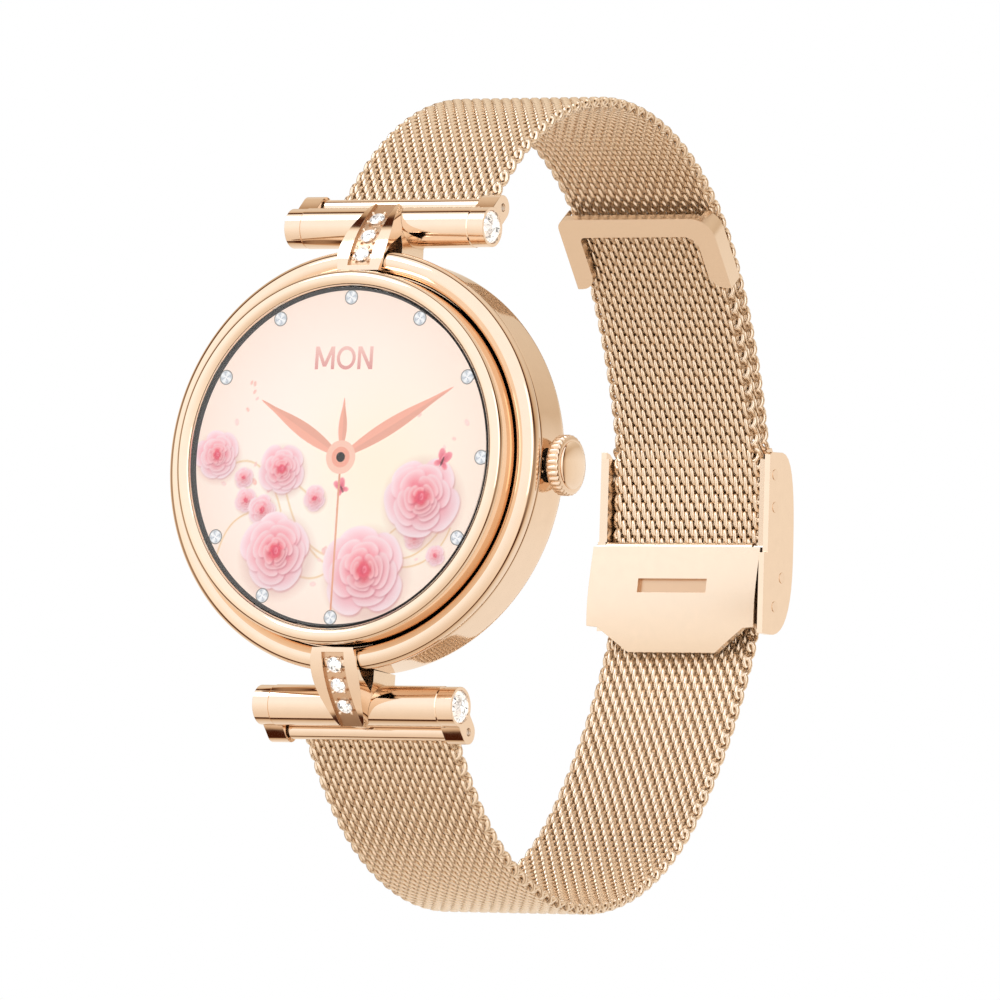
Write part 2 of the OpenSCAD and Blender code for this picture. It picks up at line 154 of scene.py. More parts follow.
def soften(node, body, slot, material, width, segments=3, sunk=0.0, crown=0.0):
    """A CAD node's own shape with its edges rounded over by width mm. The faces that
    lie wholly within sunk mm of the middle, a slot's or a channel's floor, get a darker metal: painted shade.
    A crown bows an upright plate forward by that much at mid height, more towards its foot."""
    mesh = NODES[node].data.copy()
    if "custom_normal" in mesh.attributes:
        mesh.attributes.remove(mesh.attributes["custom_normal"])
    bm = bmesh.new()
    bm.from_mesh(mesh)
    bmesh.ops.remove_doubles(bm, verts=bm.verts, dist=CAD_WELD)
    bmesh.ops.dissolve_limit(bm, angle_limit=math.radians(FLAT_DEG), verts=bm.verts, edges=bm.edges)
    if crown:
        low, high = (c.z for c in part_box(node))
        for cut in np.linspace(low, high, CROWN_CUTS)[1:-1]:
            whole = bm.verts[:] + bm.edges[:] + bm.faces[:]
            bmesh.ops.bisect_plane(bm, geom=whole, plane_co=(0, 0, cut), plane_no=(0, 0, 1))
        for v in bm.verts:
            u = (2 * v.co.z - low - high) / (high - low)
            v.co.y -= crown * MM * (1 - u * u) * (1 - FOOT_BIAS * u)
    bm.to_mesh(mesh)
    bm.free()
    mesh.materials.clear()
    mesh.materials.append(material)
    # painted shade: faces on the floor of a slot or channel get the darker recess metal
    if sunk:
        mesh.materials.append(recess_painted_shade)
        for face in mesh.polygons:
            across = [abs(mesh.vertices[v].co.x) / MM for v in face.vertices]
            face.material_index = int(max(across) < sunk + 0.01)
    mesh.shade_smooth()
    mesh.set_sharp_from_angle(angle=math.radians(EDGE_DEG))
    ob = bpy.data.objects.new(node + "_finished", mesh)
    bpy.context.scene.collection.objects.link(ob)
    bev = ob.modifiers.new("edge", "BEVEL")
    bev.width, bev.segments, bev.limit_method = width * MM, segments, "ANGLE"
    bev.angle_limit = math.radians(EDGE_DEG)
    bev.harden_normals = True
    bev.use_clamp_overlap = True
    return place(ob, body, slot, node)


# ---- Materials -------------------------------------------------------------

def node_of(tree, kind, **inputs):
    """A shader node with these values on its inputs."""
    nd = tree.nodes.new(kind)
    for key, value in inputs.items():
        nd.inputs[key.replace("_", " ")].default_value = value
    return nd


def base_material(name):
    """A new material, its tree and its shader."""
    mat = bpy.data.materials.new(name)
    mat.use_nodes = True
    tree = mat.node_tree
    return mat, tree, tree.nodes["Principled BSDF"]


def clouded(tree, shader, color, amount, scale, detail):
    """Colours the shader darker and lighter by amount in clouds. Returns the coordinates and the clouds."""
    coord = tree.nodes.new("ShaderNodeTexCoord")
    cloud = node_of(tree, "ShaderNodeTexNoise", Scale=scale, Detail=detail)
    tree.links.new(coord.outputs["Object"], cloud.inputs["Vector"])
    mix = tree.nodes.new("ShaderNodeMix")
    mix.data_type = "RGBA"
    mix.inputs["A"].default_value = (*[c * (1 - amount) for c in color], 1)
    mix.inputs["B"].default_value = (*[min(c * (1 + amount), 1) for c in color], 1)
    tree.links.new(cloud.outputs["Fac"], mix.inputs["Factor"])
    tree.links.new(mix.outputs["Result"], shader.inputs["Base Color"])
    return coord, cloud


def bumped(tree, shader, height, strength, distance):
    """Raises the surface by a noise's value, up to distance metres."""
    rise = node_of(tree, "ShaderNodeBump", Strength=strength, Distance=distance)
    tree.links.new(height.outputs["Fac"], rise.inputs["Height"])
    tree.links.new(rise.outputs["Normal"], shader.inputs["Normal"])


def metal(name, color, rough, spread=0.03, bump=0.0, bump_scale=(1, 1, 1), tint=0.04):
    """Plated metal: a faint cloud in the colour and roughness, and fine lines along an axis."""
    mat, tree, shader = base_material(name)
    shader.inputs["Metallic"].default_value = 1.0
    coord, cloud = clouded(tree, shader, color, tint, scale=900, detail=4.0)
    ramp = tree.nodes.new("ShaderNodeMapRange")
    ramp.inputs["To Min"].default_value = max(rough - spread, 0.01)
    ramp.inputs["To Max"].default_value = rough + spread
    tree.links.new(cloud.outputs["Fac"], ramp.inputs["Value"])
    tree.links.new(ramp.outputs["Result"], shader.inputs["Roughness"])
    if bump:
        stretch = tree.nodes.new("ShaderNodeMapping")
        stretch.inputs["Scale"].default_value = bump_scale
        lines = node_of(tree, "ShaderNodeTexNoise", Scale=1.0, Detail=3.0)
        tree.links.new(coord.outputs["Object"], stretch.inputs["Vector"])
        tree.links.new(stretch.outputs["Vector"], lines.inputs["Vector"])
        bumped(tree, shader, lines, bump, 0.02 * MM)
    return mat


def plain(name, color, rough, scale=1500, bump=0.1, amount=0.25, coat=0.0):
    """Plastic, rubber or board: speckled colour and a fine grain."""
    mat, tree, shader = base_material(name)
    shader.inputs["Roughness"].default_value = rough
    shader.inputs["Coat Weight"].default_value = coat
    grain = clouded(tree, shader, color, amount, scale, detail=5.0)[1]
    bumped(tree, shader, grain, bump, 0.03 * MM)
    return mat


polished = metal("rose_gold_polished", (0.88, 0.705, 0.555), 0.07)
mirror = metal("rose_gold_mirror", (0.90, 0.73, 0.58), 0.05, spread=0.02)
satin = metal("rose_gold_satin", (0.88, 0.72, 0.57), 0.24, spread=0.04, bump=0.15,
              bump_scale=(800, 9000, 9000))
wire = metal("rose_gold_wire", (0.93, 0.775, 0.615), 0.26, spread=0.06, tint=0.08)
# A darker copy of the rose gold: painted shade for the floors of slots and channels
recess_painted_shade = metal("rose_gold_painted_recess_shade", (0.72, 0.50, 0.34), 0.3)
steel = metal("steel_ground", (0.70, 0.69, 0.68), 0.25)
backplate = metal("back_turned", (0.80, 0.66, 0.54), 0.28, spread=0.05)
gold = metal("contact_gold", (0.95, 0.70, 0.30), 0.18)
foil = metal("foil", (0.66, 0.67, 0.69), 0.35)
rubber = plain("rubber_black", (0.035, 0.035, 0.037), 0.7)
black_matt = plain("border_black", (0.012, 0.012, 0.014), 0.6, bump=0.0)
board = plain("board_green", (0.03, 0.16, 0.08), 0.4, coat=0.4)
dark_plastic = plain("plastic_dark", (0.06, 0.06, 0.065), 0.5)


def painted(name, glow, rough):
    """Colours painted on the mesh, shown and glowing. Also returns the tree, shader and paint."""
    mat, tree, shader = base_material(name)
    colors = tree.nodes.new("ShaderNodeAttribute")
    colors.attribute_name = PAINT
    tree.links.new(colors.outputs["Color"], shader.inputs["Emission Color"])
    shader.inputs["Emission Strength"].default_value = glow
    shader.inputs["Roughness"].default_value = rough
    return mat, tree, shader, colors


def lit(name):
    """The lit picture on the display: it glows, and reflects little of the room's light."""
    mat, tree, shader, colors = painted(name, 0.84, 0.6)
    dim = tree.nodes.new("ShaderNodeMix")
    dim.data_type, dim.blend_type = "RGBA", "MULTIPLY"
    dim.inputs["Factor"].default_value = 1.0
    dim.inputs["B"].default_value = (0.22, 0.22, 0.22, 1)
    tree.links.new(colors.outputs["Color"], dim.inputs["A"])
    tree.links.new(dim.outputs["Result"], shader.inputs["Base Color"])
    shader.inputs["Specular IOR Level"].default_value = 0.2
    return mat


def clear_glass(name):
    """Window glass."""
    mat, _, shader = base_material(name)
    shader.inputs["Base Color"].default_value = (1, 1, 1, 1)
    shader.inputs["Transmission Weight"].default_value = 1.0
    shader.inputs["Roughness"].default_value = 0.0
    shader.inputs["IOR"].default_value = 1.45
    return mat


def stone_with_painted_glints(name):
    """Stone facets: mirrors of painted tones that also glow a little: painted glints and reflections."""
    # painted light: the facet tones glow at 0.45, though the stones are no lamp
    mat, tree, shader, colors = painted(name, 0.45, 0.05)
    tree.links.new(colors.outputs["Color"], shader.inputs["Base Color"])
    shader.inputs["Metallic"].default_value = 0.75
    return mat


PAINT = "paint"        # the colour attribute that painted materials show
screen = lit("screen_picture")
glass = clear_glass("cover_glass")
stone_mat = stone_with_painted_glints("stone_with_painted_glints")

WINDOW_R = 7.5         # the sensor window's


def ringed(name):
    """Smoked sensor window: rings of darker and lighter filter under a clear coat."""
    mat, tree, shader = base_material(name)
    coord = tree.nodes.new("ShaderNodeTexCoord")
    flat = tree.nodes.new("ShaderNodeVectorMath")
    flat.operation = "MULTIPLY"
    flat.inputs[1].default_value = (1, 0, 1)
    size = tree.nodes.new("ShaderNodeVectorMath")
    size.operation = "LENGTH"
    scale = tree.nodes.new("ShaderNodeMath")
    scale.operation = "MULTIPLY"
    scale.inputs[1].default_value = 1 / (WINDOW_R * MM)
    ramp = tree.nodes.new("ShaderNodeValToRGB")
    tree.links.new(coord.outputs["Object"], flat.inputs[0])
    tree.links.new(flat.outputs["Vector"], size.inputs[0])
    tree.links.new(size.outputs["Value"], scale.inputs[0])
    tree.links.new(scale.outputs["Value"], ramp.inputs["Fac"])
    dark, light = (0.006, 0.006, 0.008, 1), (0.05, 0.05, 0.055, 1)
    el = ramp.color_ramp.elements
    el[0].position, el[0].color = 0.0, (0.02, 0.09, 0.05, 1)
    el[1].position, el[1].color = 0.16, dark
    rim = (0.012, 0.012, 0.014, 1)
    for pos, col in ((0.30, dark), (0.34, light), (0.50, light), (0.54, dark), (0.8, rim)):
        e = el.new(pos)
        e.color = col
    tree.links.new(ramp.outputs["Color"], shader.inputs["Base Color"])
    shader.inputs["Roughness"].default_value = 0.08
    shader.inputs["Coat Weight"].default_value = 1.0
    return mat


sensor_glass = ringed("sensor_glass")

for node, mat in {
        "cover_glass": glass, "glass_gasket": black_matt, "display_carrier": dark_plastic,
        "main_board": board, "battery": foil, "vibration_motor": foil, "inner_frame": dark_plastic,
        "sensor_board": board, "sensor_window": sensor_glass, "case_back": backplate,
        "case_back_gasket": rubber, "case_back_screws": steel, "charging_contacts": gold,
        "crown_tube": steel, "crown_switch": dark_plastic, "crown_stem": steel, "crown_seal": rubber,
        "upper_spring_bar": steel, "lower_spring_bar": steel, "clasp_hinge_bar": steel,
        "flap_pin": steel}.items():
    data = NODES[node].data
    data.materials.clear()
    data.materials.append(mat)

# ---- Case ------------------------------------------------------------------

RING = (18.45, 3.1)
band_profile = ([(17.35, 3.4)] + arc(RING, 1.1, 195, 420, 40) + [(19.16, 4.06), (19.24, 4.16)]
                + [(19.25 + 0.05 * i / 6, 4.3 + 3.5 * i / 6) for i in range(7)]
                + arc((17.7, 7.8), 1.6, 6, 90, 14)
                + [(17.25, 9.4), (17.25, 8.7), (16.35, 8.7), (16.35, 3.45)])
TURNS = 256            # steps round the case's turned parts
place(lathe("case_band", band_profile, polished, TURNS), "case", "case_metal", "case_middle")
bezel_profile = (arc((16.55, 0.5), 0.75, 178, 360, 30)
                 + [(17.3, 3.38), (16.36, 3.38), (16.36, 2), (15.25, 2), (15.25, 1.32), (15.8, 1.32)])
place(lathe("bezel", bezel_profile, mirror, TURNS), "case", "bezel_metal", "bezel_ring")

# ---- Crown -----------------------------------------------------------------

GROOVES = 30
GRIP = (19.95, 21.12)  # where the grooves start and end along the crown
GRIP_FADE = 0.12
GROOVE_DEPTH = 0.2
CORE_R = 2.3           # nothing nearer to the axis is grooved


def knurl(r, x, t):
    """Rounded ridges that die away towards both ends of the grip."""
    if r < CORE_R or not GRIP[0] < x < GRIP[1]:
        return r
    fade = min((x - GRIP[0]) / GRIP_FADE, (GRIP[1] - x) / GRIP_FADE, 1.0)
    return r - GROOVE_DEPTH * fade * (1 - abs(math.cos(t * GROOVES / 2)) ** 0.7)


knob_profile = ([(1.7, 19.87), (2.45, 19.87), (2.62, 19.93), (2.72, 20.02), (2.8, 20.12)]
                + [(2.8, 20.12 + 0.74 * i / 5) for i in range(1, 6)]
                + [(2.78, 20.96), (2.7, 21.06), (2.6, 21.13), (2.42, 21.19), (2.2, 21.2), (1.0, 21.2),
                   (1.0, 20.9), (0.6, 20.9), (0.6, 20.6), (1.7, 20.6)])
place(lathe("crown_grip", knob_profile, polished, GROOVES * 12, "x", (CROWN_D, 0), radius=knurl, angle=50),
      "crown", "crown_metal", "crown_knob")
cap_profile = [(0, 21.2), (2.15, 21.2), (2.2, 21.24), (2.18, 21.3)] + \
    bezier([(2.15, 21.34), (1.9, 21.56), (1.1, 21.69), (0, 21.71)], 14)
place(lathe("crown_dome", cap_profile, mirror, 96, "x", (CROWN_D, 0), closed=False),
      "crown", "crown_cap_metal", "crown_cap")

# ---- Lugs ------------------------------------------------------------------


def brilliant(name, at, normal, r):
    """Round brilliant of radius r: a table, star and kite facets and a short girdle.
    The corners are 8 of the table, 8 of the stars and two rings of 16. normal points out of the table."""
    pts, faces = [], []
    rows = ((0.50, 0.40, 0.0), (0.78, 0.24, 22.5), (1.0, 0.04, 0.0), (1.0, -0.06, 0.0))
    for k, (rad, h, turn) in enumerate(rows):
        n = 8 if k < 2 else 16
        for i in range(n):
            t = math.radians(turn + 360 * i / n)
            pts.append((rad * r * math.cos(t), rad * r * math.sin(t), h * r))
    faces.append(tuple(range(8)))
    for i in range(8):
        g = 16 + 2 * i
        faces.append((i, 8 + i, (i + 1) % 8))                # star
        faces.append((i, 8 + (i - 1) % 8, g))                # kite halves
        faces.append((i, g, 8 + i))
        faces.append((8 + i, g, g + 1))                      # girdle facets
        faces.append((8 + i, g + 1, 16 + (2 * i + 2) % 16))
    for i in range(16):
        j = (i + 1) % 16
        faces.append((16 + i, 32 + i, 32 + j, 16 + j))
    faces.append(tuple(range(47, 31, -1)))
    z = Vector(normal).normalized()
    side = z.cross(Vector((1, 0, 0)) if abs(z.x) < 0.9 else Vector((0, 0, 1))).normalized()
    turn = Matrix((side, z.cross(side), z)).transposed()
    co = [turn @ Vector(p) + Vector(at) for p in pts]
    ob = make(name, co, faces, stone_mat, 0)
    fix_normals(ob)
    return ob


def joined(name, obs):
    """One object from several, in the order given."""
    bm = bmesh.new()
    for ob in obs:
        bm.from_mesh(ob.data)
    mesh = bpy.data.meshes.new(name)
    bm.to_mesh(mesh)
    bm.free()
    mesh.materials.append(obs[0].data.materials[0])
    out = bpy.data.objects.new(name, mesh)
    bpy.context.scene.collection.objects.link(out)
    for ob in obs:
        bpy.data.objects.remove(ob)
    return out


def paint_glints(ob, times):
    """Cuts the facets finer and paints each a glint of its own, from clear white to smoky blue: painted
    reflections.
    """
    bm = bmesh.new()
    bm.from_mesh(ob.data)
    for _ in range(times):
        bmesh.ops.poke(bm, faces=bm.faces)
    bm.to_mesh(ob.data)
    bm.free()
    # painted glints: a random tone for each facet
    glint_tones, shares = (1.0, 0.9, 0.72, 0.45, 0.2), (0.42, 0.22, 0.16, 0.12, 0.08)
    tone = RNG.choice(glint_tones, len(ob.data.polygons), p=shares)
    attr = ob.data.color_attributes.new(PAINT, "FLOAT_COLOR", "CORNER")
    color = np.ones((len(ob.data.loops), 4), np.float32)
    for face in ob.data.polygons:
        g = tone[face.index]
        color[face.loop_start:face.loop_start + face.loop_total, :3] = (g * 0.97, g * 0.985 + 0.005, g + 0.01)
    attr.data.foreach_set("color", color.ravel())
    return ob


ARCH = ((1.45, 17.45), (1.6, 19.6), (3.4, 22.2), (6.1, 24.45))      # control points, (depth, z)
BAR_END = 8.95
BAR_EDGE = 0.1
for side, sign in (("upper", 1), ("lower", -1)):
    bar = ([(0, -BAR_END), (BAR_R - BAR_EDGE, -BAR_END), (BAR_R, -BAR_END + BAR_EDGE)]
           + [(BAR_R, -BAR_END + BAR_EDGE + 2 * (BAR_END - BAR_EDGE) * i / 12) for i in range(1, 13)]
           + [(BAR_R - BAR_EDGE, BAR_END), (0, BAR_END)])
    place(lathe(side + "_bar", bar, polished, 96, "x", (BAR_D, sign * BAR_Z), closed=False),
          "case", "lug_metal", side + "_lug_bar")
    soften(side + "_lug_ears", "case", "lug_metal", polished, 0.14)
    # the channel round the stones gets painted shade (sunk)
    soften(side + "_lug_arch", "case", "arch_metal", polished, 0.12, sunk=1.17)
    soften(side + "_lug_neck", "case", "lug_metal", satin, 0.1)

# Stones along each arch, every one with four small claws, and a large one in each bar end
STONE_R, STONE_SINK = 0.74, 0.12
CLAW_R, CLAW_OUT = 0.17, 0.62
END_STONE_R, END_STONE_X = 1.5, 10.38
stones, claws, big = [], [], []
course = bezier(ARCH, 100)
for sign in (1, -1):
    for u in (0.24, 0.5, 0.75):
        (d0, z0), (d1, z1) = course[int(u * 100)], course[int(u * 100) + 2]
        along = Vector((0, d1 - d0, z1 - z0)).normalized()
        out = Vector((0, -along.z, along.y))
        at = Vector((0, d0, z0)) - out * STONE_SINK
        across = Vector((1, 0, 0))
        flip = Vector((1, 1, sign))
        stones.append(brilliant("s", at * flip, out * flip, STONE_R))
        for sx in (-1, 1):
            for sa in (-1, 1):
                c = at + across * sx * CLAW_OUT + along * sa * CLAW_OUT + out * STONE_SINK
                bm = bmesh.new()
                bmesh.ops.create_icosphere(bm, subdivisions=2, radius=CLAW_R)
                co = [np.array(Vector(v.co) + c) * np.array(flip) for v in bm.verts]
                faces = [[v.index for v in f.verts] for f in bm.faces]
                bm.free()
                claws.append(make("c", co, faces, polished, 60))
    for sx in (-1, 1):
        big.append(brilliant("b", (sx * END_STONE_X, BAR_D, sign * BAR_Z), (sx, 0, 0), END_STONE_R))
# the stones' facets get painted glints
place(paint_glints(joined("arch_brilliants", stones), 1), "case", "stone", "arch_stones")
place(paint_glints(joined("bar_brilliants", big), 2), "case", "stone", "bar_end_stones")
claws = joined("arch_claws", claws)
claws.data.shade_smooth()
place(claws, "case", "arch_metal")

# ---- Mesh strap --------------------------------------------------------------


class Run:
    """The strap's course: a start, a heading and legs of (length, turn)."""

    def __init__(self, start, heading, legs):
        self.start, self.heading, self.legs = start, heading, legs

    def at(self, s, off=0.0):
        """(depth, z) at length s, off mm to the left of the heading. That is outwards on UPPER."""
        (d, z), h = self.start, self.heading
        for i, (length, turn) in enumerate(self.legs):
            last = s <= length or i == len(self.legs) - 1
            part = s if last else length
            t = turn * part / length
            if turn:
                r = length * 180 / (math.pi * turn)
                d += r * (math.sin(math.radians(h + t)) - math.sin(math.radians(h)))
                z += r * (math.cos(math.radians(h)) - math.cos(math.radians(h + t)))
            else:
                d += part * math.cos(math.radians(h))
                z += part * math.sin(math.radians(h))
            h += t
            s -= part
            if last:
                break
        a = math.radians(h + 90)
        return d + off * math.cos(a), z + off * math.sin(a)

    def row(self, s, off=0.0):
        """The same place in metres in the row frame, at the middle of the width."""
        d, z = self.at(s, off)
        return tuple(to_row([(0, d, z)])[0])


UPPER = Run((10.8, 23.75), 56, ((9.2, -14), (46.9, -95.8), (19.6, -19.6)))
LOWER = Run((10.8, -23.75), -56,
            ((9.2, 14), (46.9, 95.8), (18.35, 18.35), (5, 22.15), (9.85, 0), (4, 12.3)))
BENDS = (9, 27.5, 46.5, 65.6)           # BENDS = (9, 27.5, 46.5, 65.6) # lengths along a strap that mark its bends; the mesh is cut at the middle two
PITCH, STEP = 1.06, 0.85                # a coil's turn across the strap, and coil to coil along it
WIRE_R, SIDES, TURN_PTS = 0.225, 7, 13  # the wire, the corners round it, and the points in a turn
REACH, RISE = 0.80, 0.35                # half a coil's size along the strap, and through it
FLAT = 0.52                             # half the strap's thickness, where the wire is rolled flat
LEAN = 0.7                              # 0: strands slant evenly, 1: they run along the strap on its face
COIL_IN = 0.5                           # least distance from the strap's edge to a coil's end
EDGE_IN, EDGE_OUT, EDGE_OVER = 0.62, 0.40, 0.1      # the bend at the edge that joins two coils
EDGE_LIFT = 0.30                        # how far that bend rises from one coil to the next
NO_WIRE = (1.0, 0.35, 0.2)              # a direction that no wire runs in
MESH_START = 0.25                       # clear of the end tube


def wire_along(path, pts, faces):
    """Adds a wire along path, given as (x, s, n) rows, to pts and faces."""
    p = np.asarray(path)
    tan = np.gradient(p, axis=0)
    tan /= np.linalg.norm(tan, axis=1)[:, None]
    a = np.cross(tan, NO_WIRE)
    a /= np.linalg.norm(a, axis=1)[:, None]
    b = np.cross(tan, a)
    t = (np.arange(SIDES) * 2 * math.pi / SIDES)[None, :, None]
    ring = p[:, None, :] + WIRE_R * (a[:, None, :] * np.cos(t) + b[:, None, :] * np.sin(t))
    ring[..., 2] = np.clip(ring[..., 2], -FLAT, FLAT)
    base, n = len(pts), len(p)
    pts.extend(ring.reshape(-1, 3))
    for i in range(n - 1):
        here = base + i * SIDES
        for k in range(SIDES):
            l = (k + 1) % SIDES
            faces.append((here + k, here + l, here + SIDES + l, here + SIDES + k))
    faces.append(tuple(base + k for k in range(SIDES))[::-1])
    faces.append(tuple(base + (n - 1) * SIDES + k for k in range(SIDES)))


def weave(name, run, s0, s1, off=0.0, half=HALF_W):
    """Interlinked flat coils with their middles from s0 to s1 along run, a STEP apart."""
    pts, faces = [], []
    turns = math.floor(4 * (half - COIL_IN) / PITCH) / 2
    t = np.linspace(0, turns, int(turns * TURN_PTS) + 1)
    for k in range(math.ceil(s0 / STEP - 0.5), math.ceil(s1 / STEP - 0.5)):
        s = (k + 0.5) * STEP
        odd = k % 2
        ang = 2 * math.pi * t + (math.pi if odd else 0)
        x = -turns * PITCH / 2 + PITCH * (t + LEAN * np.sin(2 * ang) / (4 * math.pi))
        wire_along(np.stack([x, s + REACH * np.cos(ang), RISE * np.sin(ang)], 1), pts, faces)
        lift = EDGE_LIFT if odd else -EDGE_LIFT
        for sx in (-1, 1):           # the bend that joins this coil to the next
            edge = []
            for v in np.radians(np.linspace(-90, 90, 8)):
                edge.append((sx * (half - EDGE_IN + EDGE_OUT * math.cos(v)),
                             s + STEP / 2 + (STEP / 2 + EDGE_OVER) * math.sin(v), lift * math.sin(v)))
            wire_along(edge, pts, faces)
    pts = np.array(pts)
    # from (x, s, n) to the curved strap
    s = pts[:, 1]
    grid = np.linspace(s.min() - 0.01, s.max() + 0.01, 400)
    mid = np.array([run.at(g, off) for g in grid])
    out = np.array([run.at(g, off + 1.0) for g in grid]) - mid
    d = np.interp(s, grid, mid[:, 0]) + pts[:, 2] * np.interp(s, grid, out[:, 0])
    z = np.interp(s, grid, mid[:, 1]) + pts[:, 2] * np.interp(s, grid, out[:, 1])
    return make(name, np.stack([pts[:, 0], d, z], 1), faces, wire, 60)


def strap(side, run, end):
    """One strap's mesh, from its end tube to the length end, in three pieces."""
    cuts = (MESH_START, *BENDS[1:3], end)
    for i, (a, b) in enumerate(zip(cuts, cuts[1:]), 1):
        ob = weave(f"{side}_weave_{i}", run, a, b)
        run.row(BENDS[i - 1])
        run.row(BENDS[i])
        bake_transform(ob)
        covered = (1, 2) if i == 1 else (i + 1,)
        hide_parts(*[f"{side}_mesh_{k}" for k in covered])


strap("upper", UPPER, end=75.15)
strap("lower", LOWER, end=93.2)

# The free tail lies inside the upper strap, on the same course
TAIL_OFF = -1.3
TAIL_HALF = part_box("tail_mesh_1")[1].x / MM
for name, a, b, pair, start, end, node in (
        ("tail_weave_1", 68.6, 75.3, ("lower_strap_4", "tail_1"), 75.4, 68.6, "tail_mesh_1"),
        ("tail_weave_2", 51.3, 68.6, ("tail_1", "tail_2"), 68.6, 56.0, "tail_mesh_2")):
    ob = weave(name, UPPER, a, b, TAIL_OFF, TAIL_HALF)
    UPPER.row(start, TAIL_OFF)
    UPPER.row(end, TAIL_OFF)
    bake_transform(ob)
    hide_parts(node)

for side, body in (("upper", "upper_strap_1"), ("lower", "lower_strap_1")):
    soften(side + "_end_tube", body, "fitting_metal", polished, 0.06)
soften("upper_end_fitting", "upper_strap_4", "fitting_metal", polished, 0.06)

# ---- Clasp -----------------------------------------------------------------

soften("clasp_cover", "clasp_cover", "cover_metal", mirror, 0.2, 4)
soften("clasp_pins", "clasp_cover", "cover_pin", polished, 0.02, 2)
soften("slider_frame", "lower_strap_4", "slider_metal", satin, 0.12)
# the slot's floor gets painted shade (sunk)
soften("lock_flap", "lock_flap", "flap_metal", satin, 0.06, sunk=3.75, crown=0.7)
soften("tail_clip", "tail_2", "clip_metal", satin, 0.1)

# ---- Dial ------------------------------------------------------------------

FACE_D = 0.75          # depth at which the lit picture shows through the glass
LAYERS = [FACE_D - 0.010 - 0.008 * k for k in range(5)]     # depths of the flat shapes laid over it
PICTURE_R = 15.52
GRID = 0.092           # between the picture's vertices


def paint(ob, colors):
    """Gives each vertex its colour."""
    attr = ob.data.color_attributes.new(PAINT, "FLOAT_COLOR", "POINT")
    flat = np.ones((len(ob.data.vertices), 4), np.float32)
    flat[:, :3] = colors
    attr.data.foreach_set("color", flat.ravel())


def linear(rgb):
    """Screen colours, 0 to 255, as linear light."""
    c = np.asarray(rgb, float) / 255
    return np.where(c <= 0.04045, c / 12.92, ((c + 0.055) / 1.055) ** 2.4)


class Picture:
    """A disc of fine vertices, painted one soft-edged shape over another."""

    def __init__(self):
        n = int(PICTURE_R / GRID)
        axis = np.arange(-n - 1, n + 2) * GRID
        gx, gz = np.meshgrid(axis, axis, indexing="ij")
        size = len(axis)
        r = np.hypot(gx, gz)
        pull = np.where(r > PICTURE_R, PICTURE_R / np.maximum(r, 1e-9), 1.0)
        keep = r < PICTURE_R + GRID * 1.2
        self.index = -np.ones((size, size), int)
        self.index[keep] = np.arange(keep.sum())
        self.x, self.z = (gx * pull)[keep], (gz * pull)[keep]
        cell = self.index
        quad = np.stack([cell[:-1, :-1], cell[:-1, 1:], cell[1:, 1:], cell[1:, :-1]], -1).reshape(-1, 4)
        self.faces = quad[(quad >= 0).all(1)]
        rr = np.hypot(self.x, self.z) / PICTURE_R
        cream, peach, warm = linear((255, 246, 238)), linear((254, 230, 216)), linear((255, 240, 214))
        w1 = np.clip((rr - 0.3) / 0.7, 0, 1)[:, None] ** 1.4
        w2 = np.exp(-((self.x - 4) ** 2 + (self.z + 1) ** 2) / 80)[:, None]
        self.rgb = (cream * (1 - w1) + peach * w1) * (1 - 0.8 * w2) + warm * 0.8 * w2

    def fan(self, rim, rim_rgb, mid, mid_rgb, alpha=1.0, soft=GRID):
        """Paints an outline, shaded from a middle point to its rim."""
        rim = np.asarray(rim, float)
        reach = np.hypot(*(rim - mid).T)
        far = reach.max() + soft
        near = np.nonzero((abs(self.x - mid[0]) < far) & (abs(self.z - mid[1]) < far))[0]
        dx, dz = self.x[near] - mid[0], self.z[near] - mid[1]
        rho, ang = np.hypot(dx, dz), np.arctan2(dz, dx)
        a = np.arctan2(rim[:, 1] - mid[1], rim[:, 0] - mid[0])
        order = np.argsort(a)
        a, reach = a[order], reach[order]
        a = np.concatenate([a[-1:] - 2 * math.pi, a, a[:1] + 2 * math.pi])
        wrap = lambda v: np.concatenate([v[-1:], v, v[:1]])
        edge = np.interp(ang, a, wrap(reach))
        cover = np.clip((edge - rho) / soft + 0.5, 0, 1) * alpha
        shade = linear(rim_rgb)
        if shade.ndim == 2:
            shade = np.stack([np.interp(ang, a, wrap(shade[order, i])) for i in range(3)], 1)
        w = np.clip(rho / np.maximum(edge, 1e-9), 0, 1)[:, None] ** 1.3
        color = linear(mid_rgb) * (1 - w) + shade * w
        self.rgb[near] = self.rgb[near] * (1 - cover[:, None]) + color * cover[:, None]

    def line(self, pts, half, rgb, alpha):
        """Paints a soft line along points, half a width to each side."""
        pts = np.asarray(pts)
        gap = np.full(len(self.x), 9.0)
        for p, q in zip(pts, pts[1:]):
            d = q - p
            t = np.clip(((self.x - p[0]) * d[0] + (self.z - p[1]) * d[1]) / (d @ d), 0, 1)
            gap = np.minimum(gap, np.hypot(self.x - p[0] - t * d[0], self.z - p[1] - t * d[1]))
        cover = (np.clip((half - gap) / GRID + 0.5, 0, 1) * alpha)[:, None]
        self.rgb = self.rgb * (1 - cover) + linear(rgb) * cover

    def build(self, name):
        ob = make(name, np.stack([self.x, np.full(len(self.x), FACE_D), self.z], 1), self.faces, screen, 0)
        fix_normals(ob)
        paint(ob, self.rgb)
        return place(ob, "case", "display", "display_panel")


